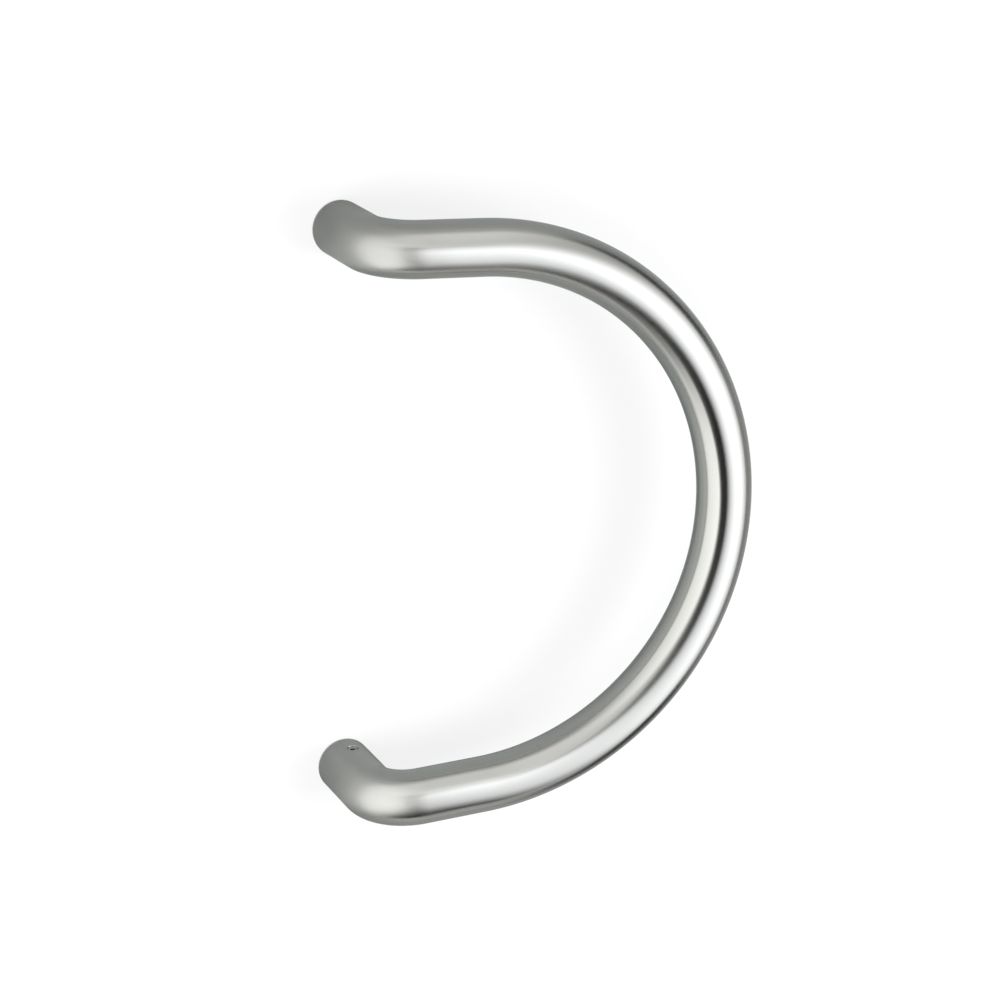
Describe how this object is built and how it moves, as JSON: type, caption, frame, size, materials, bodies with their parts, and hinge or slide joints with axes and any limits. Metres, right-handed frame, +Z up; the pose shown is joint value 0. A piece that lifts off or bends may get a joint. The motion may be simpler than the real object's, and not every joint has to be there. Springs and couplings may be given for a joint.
{
  "type": "door pull handle",
  "caption": "Half-round door pull handle bent from round satin stainless tube, its feet held on threaded bosses by grub screws.",
  "frame": {"origin": "on the door face, midway between the middles of the two feet", "axes": "+Y into the door, so the handle stands out towards -Y; +Z up, along the line of the feet; +X the way the grip bows out"},
  "size_m": [0.2281, 0.075, 0.33],
  "materials": {
    "satin_tube": "satin, finely ground along the tube",
    "turned_bush": "turned",
    "turned_boss": "turned",
    "grub_screw": "machined, dull"
  },
  "bodies": {
    "root": {"grip_tube": "satin_tube", "foot_bushes": "turned_bush", "fixing_bosses": "turned_boss", "grub_screws": "grub_screw"}
  },
  "joints": []
}
